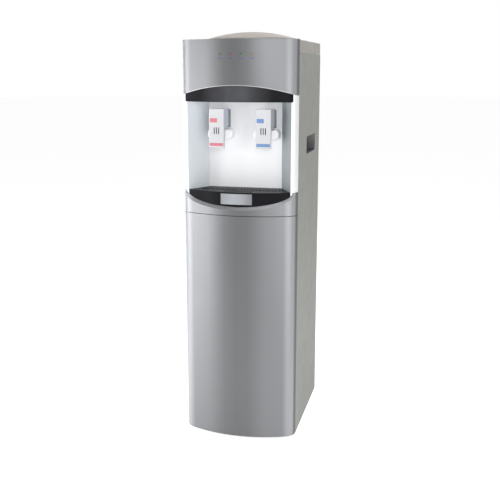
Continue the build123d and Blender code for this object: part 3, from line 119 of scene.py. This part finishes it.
class Nodes:
    """Short hand for building one material."""

    def __init__(self, name):
        self.material = bpy.data.materials.new(name)
        self.material.use_nodes = True
        self.tree = self.material.node_tree
        self.shader = self.tree.nodes["Principled BSDF"]
        self.place = self.new("ShaderNodeTexCoord").outputs["Object"]

    def new(self, kind, **values):
        """Node whose settings, and then its sockets, are set by name."""
        node = self.tree.nodes.new(kind)
        for key, value in values.items():
            if hasattr(node, key):
                setattr(node, key, value)
            else:
                node.inputs[key.replace("_", " ")].default_value = value
        return node

    def link(self, start, end):
        self.tree.links.new(start, end)

    def set(self, **values):
        """Constants of the shader."""
        for key, value in values.items():
            self.shader.inputs[key.replace("_", " ")].default_value = value

    def paint(self, colour):
        self.link(colour, self.shader.inputs["Base Color"])

    def rough(self, roughness):
        self.link(roughness, self.shader.inputs["Roughness"])

    def bump(self, height, distance, strength=1.0):
        bump = self.new("ShaderNodeBump", Distance=distance, Strength=strength)
        self.link(height, bump.inputs["Height"])
        self.link(bump.outputs["Normal"], self.shader.inputs["Normal"])

    def noise(self, scale, detail=2.0, stretch=(1, 1, 1)):
        mapping = self.new("ShaderNodeMapping", Scale=stretch)
        self.link(self.place, mapping.inputs["Vector"])
        noise = self.new("ShaderNodeTexNoise", Scale=scale, Detail=detail)
        self.link(mapping.outputs["Vector"], noise.inputs["Vector"])
        return noise.outputs["Fac"]

    def ramp(self, value, stops, steps=False):
        ramp = self.new("ShaderNodeValToRGB")
        ramp.color_ramp.interpolation = "CONSTANT" if steps else "LINEAR"
        while len(ramp.color_ramp.elements) < len(stops):
            ramp.color_ramp.elements.new(0.5)
        for element, (place, colour) in zip(ramp.color_ramp.elements, stops):
            element.position = place
            element.color = (*colour, 1)
        self.link(value, ramp.inputs["Fac"])
        return ramp.outputs["Color"]

    def tones(self, value, low, high, reach=NOISE_RANGE):
        """From one colour to another over the reach of a noise."""
        return self.ramp(value, list(zip(reach, (low, high))))

    def spread(self, value, low, high, start=NOISE_RANGE[0], end=NOISE_RANGE[1]):
        span = self.new("ShaderNodeMapRange", From_Min=start, From_Max=end, To_Min=low, To_Max=high)
        self.link(value, span.inputs["Value"])
        return span.outputs["Result"]

    def math(self, operation, *values):
        node = self.new("ShaderNodeMath", operation=operation)
        for socket, value in zip(node.inputs, values):
            if isinstance(value, (int, float)):
                socket.default_value = value
            else:
                self.link(value, socket)
        return node.outputs[0]

    def axis(self, letter, place=None):
        parts = self.new("ShaderNodeSeparateXYZ")
        self.link(place or self.place, parts.inputs[0])
        return parts.outputs[letter]

    def from_middle(self, place=None):
        """How far sideways, on either side."""
        return self.math("ABSOLUTE", self.axis("X", place))

    def between(self, value, low, high):
        over, under = self.math("GREATER_THAN", value, low), self.math("LESS_THAN", value, high)
        return self.math("MULTIPLY", over, under)

    def near(self, value, middle, reach):
        return self.between(value, middle - reach, middle + reach)

    def both(self, *masks):
        held = masks[0]
        for mask in masks[1:]:
            held = self.math("MULTIPLY", held, mask)
        return held

    def mix(self, mask, base, over):
        mix = self.new("ShaderNodeMixRGB")
        self.link(mask, mix.inputs["Fac"])
        self.link(base, mix.inputs["Color1"])
        self.link(over, mix.inputs["Color2"])
        return mix.outputs["Color"]

    def times(self, base, tone):
        mix = self.new("ShaderNodeMixRGB", blend_type="MULTIPLY", Fac=1.0)
        self.link(base, mix.inputs["Color1"])
        self.link(tone, mix.inputs["Color2"])
        return mix.outputs["Color"]


def shade(colour, factor):
    return tuple(min(1.0, channel * factor) for channel in colour)


def drifting(m, drift, colour, vary):
    return m.tones(drift, shade(colour, 1 - vary), shade(colour, 1 + vary), DRIFT_RANGE)


# Masks say how far a point takes a patch's colour, from 0 to 1, by its place on the cooler or its normal.
def dash_mask(m):
    """One printed dash under each lens."""
    along = m.math("FLOORED_MODULO", m.math("SUBTRACT", m.axis("X"), LENS_FIRST_X), LENS_PITCH)
    half_x, half_z = DASH_HALF
    return m.both(m.near(along, LENS_PITCH / 2, half_x),
                  m.between(m.axis("X"), LENS_FIRST_X, LENS_FIRST_X + LENS_ROW),
                  m.near(m.axis("Z"), DASH_Z, half_z))


def arch_highlight_mask(m):
    """The strip of the upper fascia along its arch, where the highlight of a rounded edge is painted."""
    across = m.axis("X")
    up = m.math("SUBTRACT", m.axis("Z"), ARCH_TOP_Z - ARCH_RADIUS)
    squares = m.math("MULTIPLY", across, across), m.math("MULTIPLY", up, up)
    reach = m.math("SQRT", m.math("ADD", *squares))
    return m.between(reach, *(ARCH_RADIUS + edge for edge in ARCH_HIGHLIGHT_EDGE))


def flare_shade_mask(side):
    """The flared wall of the recess on one side, where its shade is painted: the left wall a little darker
    than white, the right wall much darker.
    """
    def mask(m):
        across, depth = m.math("MULTIPLY", m.axis("X"), side), m.math("MULTIPLY", m.axis("Y"), FLARE_SLOPE)
        on_wall = m.math("COMPARE", m.math("ADD", across, depth), FLARE_LEAN, FLARE_WITHIN)
        return m.both(on_wall, m.between(m.axis("Y"), *FLARE_DEPTHS))
    return mask


def slot_shade_mask(m):
    """The inside of the slots in the paddles, where their shade is painted dark."""
    half_x, half_z = SLOT_HALF
    across = m.math("SUBTRACT", m.from_middle(), TAP_XS["cold"] - SLOT_COUNT / 2 * SLOT_PITCH)
    along = m.math("FLOORED_MODULO", across, SLOT_PITCH)
    return m.both(m.near(along, SLOT_PITCH / 2, half_x),
                  m.between(across, 0, SLOT_COUNT * SLOT_PITCH),
                  m.near(m.axis("Z"), SLOT_Z, half_z),
                  m.between(m.axis("Y"), PADDLE_FACE_Y + SLOT_SKIP, PADDLE_BACK_Y))


def side_shade_mask(m):
    """Faces that look sideways, where a bluish shade is painted."""
    normal = m.new("ShaderNodeTexCoord").outputs["Normal"]
    return m.math("GREATER_THAN", m.from_middle(normal), SIDEWAYS)


def faucet_shade_mask(m):
    """The faucet's body over its nozzle, painted darker as shade."""
    return m.math("GREATER_THAN", m.axis("Z"), FAUCET_SPLIT_Z)


def scoop_shade_mask(m):
    """Painted shade in the grips: 1 at their lower edge, fading to 0 where they slope out at the top."""
    return m.spread(m.axis("Z"), 1, 0, *GRIP_SHADE)


def painted_sheen_mask(m):
    """Painted sheen: 1 in the middle of the visor, fading to 0 towards its ends."""
    return m.spread(m.from_middle(), 1, 0, *VISOR_SHEEN)


WHITE = (0.83, 0.835, 0.85)
FINISHES = {                  # colour, its variation and scale, roughness, scale and depth of the grain
    "panel_grey": ((0.208, 0.215, 0.192), 0.012, 9, (0.44, 0.5), (1400, 0.00002)),
    "cap_grey": ((0.29, 0.266, 0.24), 0.015, 12, (0.4, 0.5), (1100, 0.00004)),
    "white_plastic": (WHITE, 0.01, 14, (0.32, 0.42), (1300, 0.00003)),
    "recess_white": (WHITE, 0.01, 14, (0.36, 0.46), (1300, 0.00003)),
    "tap_white": ((0.545, 0.55, 0.568), 0.008, 25, (0.28, 0.34), None),
    "faucet_white": ((0.93, 0.935, 0.95), 0.008, 25, (0.28, 0.34), None),
    "visor_black": ((0.009, 0.009, 0.011), 0.12, 18, (0.3, 0.36), None),
    "black_gloss": ((0.010, 0.010, 0.012), 0.15, 18, (0.22, 0.3), None),
    "grille_black": ((0.012, 0.013, 0.016), 0.15, 50, (0.34, 0.44), (900, 0.00004)),
    "black_plastic": ((0.02, 0.02, 0.022), 0.12, 40, (0.42, 0.55), (900, 0.00006)),
    "grey_plastic": ((0.22, 0.22, 0.225), 0.012, 12, (0.4, 0.5), (900, 0.00005)),
    "grip_grey": ((0.24, 0.242, 0.235), 0.03, 30, (0.4, 0.5), (900, 0.00004)),
    "red_mark": ((0.545, 0.17, 0.21), 0.03, 90, (0.3, 0.4), None),
    "blue_mark": ((0.137, 0.24, 0.46), 0.03, 90, (0.3, 0.4), None),
    "steel": ((0.55, 0.55, 0.54), 0.05, 50, (0.25, 0.38), (300, 0.00003)),
    "black_enamel": ((0.014, 0.014, 0.015), 0.2, 35, (0.25, 0.42), (420, 0.00012)),
    "foam": ((0.62, 0.53, 0.33), 0.12, 60, (0.85, 0.95), (260, 0.0008)),
    "copper": ((0.62, 0.29, 0.17), 0.2, 70, (0.22, 0.42), (500, 0.00003)),
    "circuit": ((0.02, 0.13, 0.06), 0.25, 120, (0.25, 0.4), (400, 0.00004)),
    "silicone": ((0.7, 0.72, 0.72), 0.03, 60, (0.3, 0.4), None),
    "rubber": ((0.022, 0.021, 0.02), 0.15, 60, (0.65, 0.8), (700, 0.0001)),
    "magnet": ((0.05, 0.048, 0.046), 0.15, 80, (0.6, 0.75), (600, 0.00008)),
}
CONSTANTS = {                 # what some finishes set on the shader besides
    "visor_black": {"Specular_IOR_Level": 0.05},
    "black_gloss": {"Specular_IOR_Level": 0.03},
    "grille_black": {"Specular_IOR_Level": 0.10},
    "steel": {"Metallic": 1.0},
    "black_enamel": {"Coat_Weight": 0.3},
    "copper": {"Metallic": 1.0},
    "silicone": {"Transmission_Weight": 0.35},
}
PATCHES = {                   # where some finishes have painted shade or sheen, and in which colour
    # painted shade on the flared walls of the recess, the right wall darker
    "recess_white": ((flare_shade_mask(-1), (0.71, 0.75, 0.775)), (flare_shade_mask(1), (0.245, 0.274, 0.284))),
    # painted shade on the paddles' sideways faces and inside their slots
    "tap_white": ((side_shade_mask, (0.44, 0.47, 0.54)), (slot_shade_mask, (0.03, 0.03, 0.032))),
    # painted shade on the faucet's body above the nozzle
    "faucet_white": ((faucet_shade_mask, (0.27, 0.29, 0.315)),),
    # painted sheen in the middle of the visor
    "visor_black": ((painted_sheen_mask, (0.066, 0.067, 0.073)),),
    "grip_grey": ((scoop_shade_mask, (0.10, 0.105, 0.115)),),
}


def finish(name):
    """Colour and roughness that vary a little over the surface, with a fine grain and patches of painted
    shade and sheen.
    """
    colour, vary, scale, roughness, grain = FINISHES[name]
    m = Nodes(name)
    m.set(**CONSTANTS.get(name, {}))
    drift = m.noise(scale, detail=4)
    paint = drifting(m, drift, colour, vary)
    for mask, patch in PATCHES.get(name, ()):
        paint = m.mix(mask(m), paint, drifting(m, drift, patch, vary))
    m.paint(paint)
    m.rough(m.spread(m.noise(scale * 3), *roughness))
    if grain:
        grain_scale, depth = grain
        m.bump(m.noise(grain_scale, detail=3), depth)
    return m.material


SILVER = (0.146, 0.149, 0.155)
SILVER_PAINTED_REFLECTION = [                # share of the half width from the middle, and the lacquer's tone there: painted reflections, dark in the middle, a painted highlight stripe near the ends and painted shade at the wrapped edge
    (0.0, 0.71), (0.2, 0.76), (0.5, 1.05), (0.8, 1.12), (0.89, 1.75), (0.965, 2.1), (0.99, 0.6),
]
SILVER_UNEVEN = (0.94, 0.94, 0.94)  # the lacquer's darkest flakes, as a share of its tone
FLAKE_SHARE = 0.4             # of that unevenness, the rest being slow drift
ARCH_HIGHLIGHT_TONE = 2.2               # of the painted highlight strip along the arch, as a share of the lacquer's colour
PRINT_COLOUR = (0.07, 0.07, 0.20)
PRINT_AND_HIGHLIGHT_VARY = 0.05             # how much the colours of the printed dashes and of the painted highlight strip vary


def silver_paint(name, printed=False):
    """Metallic lacquer: fine flakes under a clear coat, with painted reflections that make it paler towards
    the ends of the bowed front.
    """
    m = Nodes(name)
    m.set(Metallic=0.92, Coat_Weight=0.25, Coat_Roughness=0.3)
    flake = m.noise(5200, detail=1)
    drift = m.noise(5, detail=3)
    uneven = m.math("ADD", m.math("MULTIPLY", flake, FLAKE_SHARE), m.math("MULTIPLY", drift, 1 - FLAKE_SHARE))
    bow = m.math("DIVIDE", m.from_middle(), HALF_WIDTH)
    # painted reflections of the lamps across the bowed front
    tone = m.ramp(bow, [(place, shade(SILVER, factor)) for place, factor in SILVER_PAINTED_REFLECTION])
    paint = m.times(tone, m.tones(uneven, SILVER_UNEVEN, (1, 1, 1)))
    # printed also adds the painted highlight strip along the arch
    if printed:
        for mask, colour in ((dash_mask, PRINT_COLOUR), (arch_highlight_mask, shade(SILVER, ARCH_HIGHLIGHT_TONE))):
            paint = m.mix(mask(m), paint, drifting(m, drift, colour, PRINT_AND_HIGHLIGHT_VARY))
    m.paint(paint)
    m.rough(m.spread(flake, 0.42, 0.5))
    m.bump(m.noise(900), distance=0.00002, strength=0.5)
    return m.material


LENS_TINTS = [(0.15, 0.115, 0.03), (0.30, 0.05, 0.05), (0.035, 0.14, 0.075), (0.28, 0.22, 0.06)]


def lens_colours():
    """Four tinted lenses in a row."""
    m = Nodes("lens")
    m.set(Specular_IOR_Level=0.6)
    share = m.math("DIVIDE", m.math("SUBTRACT", m.axis("X"), LENS_FIRST_X), LENS_ROW)
    tint = m.ramp(share, [(i / len(LENS_TINTS), tint) for i, tint in enumerate(LENS_TINTS)], steps=True)
    m.paint(m.times(tint, m.tones(m.noise(900), (0.8, 0.8, 0.8), (1, 1, 1))))
    m.rough(m.spread(m.noise(400), 0.12, 0.25))
    return m.material


def brushed_inlay():
    """Satin metal with fine lines along the inlay's width, and a painted sheen that leaves it darker towards
    its ends.
    """
    m = Nodes("satin_inlay")
    m.set(Metallic=0.9)
    lines = m.noise(1500, stretch=(0.02, 1, 1))
    satin = m.tones(lines, (0.29, 0.305, 0.325), (0.335, 0.35, 0.365))
    m.paint(m.times(satin, m.spread(m.from_middle(), 1, 0.5, *INLAY_SHEEN)))
    m.rough(m.spread(lines, 0.3, 0.4))
    m.bump(lines, distance=0.00001, strength=0.6)
    return m.material


def zinc_steel():
    """Galvanised sheet with its soft crystal pattern."""
    m = Nodes("zinc_steel")
    m.set(Metallic=0.9)
    cells = m.new("ShaderNodeTexVoronoi", Scale=70)
    m.link(m.place, cells.inputs["Vector"])
    cell = m.new("ShaderNodeSeparateColor")
    m.link(cells.outputs["Color"], cell.inputs["Color"])
    m.paint(m.tones(cell.outputs["Red"], (0.43, 0.44, 0.45), (0.50, 0.51, 0.52), reach=(0.1, 0.9)))
    m.rough(m.spread(cell.outputs["Green"], 0.34, 0.5, start=0, end=1))
    return m.material


def make_materials():
    made = {name: silver_paint(name) for name in ("silver_door", "silver_fascia")}
    made["printed_highlit_fascia"] = silver_paint("printed_highlit_fascia", printed=True)
    made["satin_inlay"] = brushed_inlay()
    made["lens"] = lens_colours()
    made["zinc_steel"] = zinc_steel()
    made.update((name, finish(name)) for name in FINISHES)
    return made


OWN_FINISH = {                # nodes whose finish differs from the rest of their slot
    "upper_fascia": "printed_highlit_fascia",
    "recess_housing": "recess_white",
    "visor": "visor_black",
    "left_grip_cup": "grip_grey",
    "right_grip_cup": "grip_grey",
    "drip_grille": "grille_black",
    "hot_faucet": "faucet_white",
    "cold_faucet": "faucet_white",
}


def dress_nodes(materials):
    """Every CAD node gets the finished material of its slot, or its own."""
    for name, node in NODES.items():
        for slot in node.material_slots:
            key = slot.material.name.split(".")[0] if slot.material else ""
            slot.material = materials[OWN_FINISH.get(name, key)]


# ---- lights, floor and backdrop -----------------------------------------------------------------
WORLD_LIGHT = 0.50            # what the world gives the object
FLOOR_REACH = 30
FLOOR_SIDES = 96
FLOOR_COLOUR = (0.8, 0.8, 0.8, 1)
FLOOR_LIFT = 0.66             # the floor's own white, for what sees it directly
LAMP_TARGET = (0, 0, 0.65)
LAMPS = {                     # azimuth from the front, height, distance, size and power
    "left_back": (-128, 0.64, 1.75, (0.3, 1.26), 6),
    "left": (-66, 0.64, 1.75, (0.6, 1.26), 12),
    "left_front": (-42, 0.62, 1.9, (0.4, 1.22), 10),
    "right": (36, 0.62, 2.0, (0.35, 1.22), 6),
    "right_side": (54, 0.64, 1.75, (0.3, 1.26), 2),
    "front": (14, 1.45, 2.9, (1.4, 1.0), 24),
    "top": (0, 2.4, 0.3, (0.9, 0.6), 14),
    "back": (165, 2.0, 2.4, (1.6, 1.2), 14),
}
FLOOR_LAMPS = {               # pointed straight down, so that the door's lower half has a floor to mirror
    "floor_left": (-60, 0.8, 0.95, (0.7, 0.7), 12),
    "floor_right": (30, 0.8, 0.95, (0.3, 0.7), 2),
}


def softbox(name, azimuth, height, distance, size, power):
    """Area lamp round the cooler, which looks at it or at the floor."""
    data = bpy.data.lights.new(name, "AREA")
    data.shape = "RECTANGLE"
    data.size, data.size_y = size
    data.energy = power
    lamp = bpy.data.objects.new(name, data)
    bpy.context.scene.collection.objects.link(lamp)
    angle = math.radians(azimuth)
    place = (distance * math.sin(angle), -distance * math.cos(angle), height)
    lamp.location = place
    if name in FLOOR_LAMPS:
        lamp.rotation_euler = (0, 0, angle)
    else:
        lamp.rotation_euler = (Vector(LAMP_TARGET) - Vector(place)).to_track_quat("-Z", "Y").to_euler()


def seen_directly(tree):
    """1 for the rays of the camera, of gloss and of glass, 0 for those that light the object."""
    path = tree.nodes.new("ShaderNodeLightPath")
    seen = path.outputs["Is Camera Ray"]
    for ray in ("Is Glossy Ray", "Is Transmission Ray"):
        most = tree.nodes.new("ShaderNodeMath")
        most.operation = "MAXIMUM"
        tree.links.new(seen, most.inputs[0])
        tree.links.new(path.outputs[ray], most.inputs[1])
        seen = most.outputs[0]
    return seen


def make_world():
    """Even light for the object, and plain white for what sees the world directly."""
    world = bpy.data.worlds.new("world")
    bpy.context.scene.world = world
    world.use_nodes = True
    tree = world.node_tree
    tree.nodes.clear()
    out = tree.nodes.new("ShaderNodeOutputWorld")
    lights = tree.nodes.new("ShaderNodeBackground")
    lights.inputs["Strength"].default_value = WORLD_LIGHT
    backdrop = tree.nodes.new("ShaderNodeBackground")
    backdrop.inputs["Color"].default_value = (1, 1, 1, 1)
    mix = tree.nodes.new("ShaderNodeMixShader")
    tree.links.new(seen_directly(tree), mix.inputs["Fac"])
    tree.links.new(lights.outputs[0], mix.inputs[1])
    tree.links.new(backdrop.outputs[0], mix.inputs[2])
    tree.links.new(mix.outputs[0], out.inputs["Surface"])


def make_floor():
    mesh = bpy.data.meshes.new("floor")
    bm = bmesh.new()
    bmesh.ops.create_circle(bm, cap_ends=True, segments=FLOOR_SIDES, radius=FLOOR_REACH)
    bm.to_mesh(mesh)
    bm.free()
    floor = bpy.data.objects.new("floor", mesh)
    bpy.context.scene.collection.objects.link(floor)
    m = Nodes("floor")
    m.set(Base_Color=FLOOR_COLOUR, Roughness=0.9, Specular_IOR_Level=0.0, Emission_Color=(1, 1, 1, 1))
    lift = m.math("MULTIPLY", seen_directly(m.tree), FLOOR_LIFT)
    m.link(lift, m.shader.inputs["Emission Strength"])
    mesh.materials.append(m.material)


def make_lights():
    bpy.context.scene.view_settings.view_transform = "Standard"
    make_world()
    make_floor()
    for name, values in {**LAMPS, **FLOOR_LAMPS}.items():
        softbox(name, *values)


# ---- pieces -------------------------------------------------------------------------------------
def add_piece(name, bm, material, body, smooth=True):
    mesh = bpy.data.meshes.new(name)
    bm.to_mesh(mesh)
    bm.free()
    mesh.materials.append(material)
    piece = bpy.data.objects.new(name, mesh)
    bpy.context.scene.collection.objects.link(piece)
    for face in mesh.polygons:
        face.use_smooth = smooth
    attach(piece, body)
    return piece


def wire_mesh(points, outwards):
    """Closed wire along points; outwards gives each ring's first direction, Y its second."""
    bm = bmesh.new()
    turn = [2 * math.pi * i / WIRE_SIDES for i in range(WIRE_SIDES)]
    rings = []
    for point, out in zip(points, outwards):
        around = [math.cos(a) * out + math.sin(a) * Vector((0, 1, 0)) for a in turn]
        rings.append([bm.verts.new(point + WIRE_RADIUS * direction) for direction in around])
    for near, far in zip(rings, rings[1:]):
        for i in range(WIRE_SIDES):
            after = (i + 1) % WIRE_SIDES
            bm.faces.new((near[i], near[after], far[after], far[i]))
    bm.faces.new(rings[0][::-1])
    bm.faces.new(rings[-1])
    bmesh.ops.recalc_face_normals(bm, faces=bm.faces)
    return bm


def coil_spring(tap, x, steel):
    """Return spring between the faucet and the paddle's back, fixed to the cabinet."""
    start, end = SPRING_ENDS
    count = SPRING_TURNS * SPRING_STEPS
    angles = [2 * math.pi * i / SPRING_STEPS for i in range(count + 1)]
    outwards = [Vector((math.cos(a), 0, math.sin(a))) for a in angles]
    low, high = start + WIRE_RADIUS, end - WIRE_RADIUS
    points = [Vector((x, low + (high - low) * i / count, SPRING_Z)) + SPRING_RADIUS * out
              for i, out in enumerate(outwards)]
    piece = add_piece(f"{tap}_coil", wire_mesh(points, outwards), steel, "cabinet")
    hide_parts(f"{tap}_spring")
    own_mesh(piece)


def shade_louvre(tap, x, plastic):
    """Dark ribbed plate inside the paddle, put behind the slots as their shade."""
    width, depth, height = SHADE_LOUVRE_SIZE
    front = PADDLE_BACK_Y + SHADE_LOUVRE_GAP
    steps = 2 * SHADE_LOUVRE_RIBS
    outline = [(x - width / 2 + width * i / steps, front + (depth / 2 if i % 2 else 0))
               for i in range(steps + 1)]
    outline += [(x + width / 2, front + depth), (x - width / 2, front + depth)]
    bm = bmesh.new()
    low = [bm.verts.new((px, py, SLOT_Z - height / 2)) for px, py in outline]
    high = [bm.verts.new((px, py, SLOT_Z + height / 2)) for px, py in outline]
    bm.faces.new(low[::-1])
    bm.faces.new(high)
    for i in range(len(outline)):
        after = (i + 1) % len(outline)
        bm.faces.new((low[i], low[after], high[after], high[i]))
    bmesh.ops.recalc_face_normals(bm, faces=bm.faces)
    add_piece(f"{tap}_louvre", bm, plastic, f"{tap}_lever", smooth=False)


def make_pieces(materials):
    for tap, x in TAP_XS.items():
        coil_spring(tap, x, materials["steel"])
        shade_louvre(tap, x, materials["black_plastic"])


make_camera()
MATERIALS = make_materials()
dress_nodes(MATERIALS)
make_lights()
make_pieces(MATERIALS)
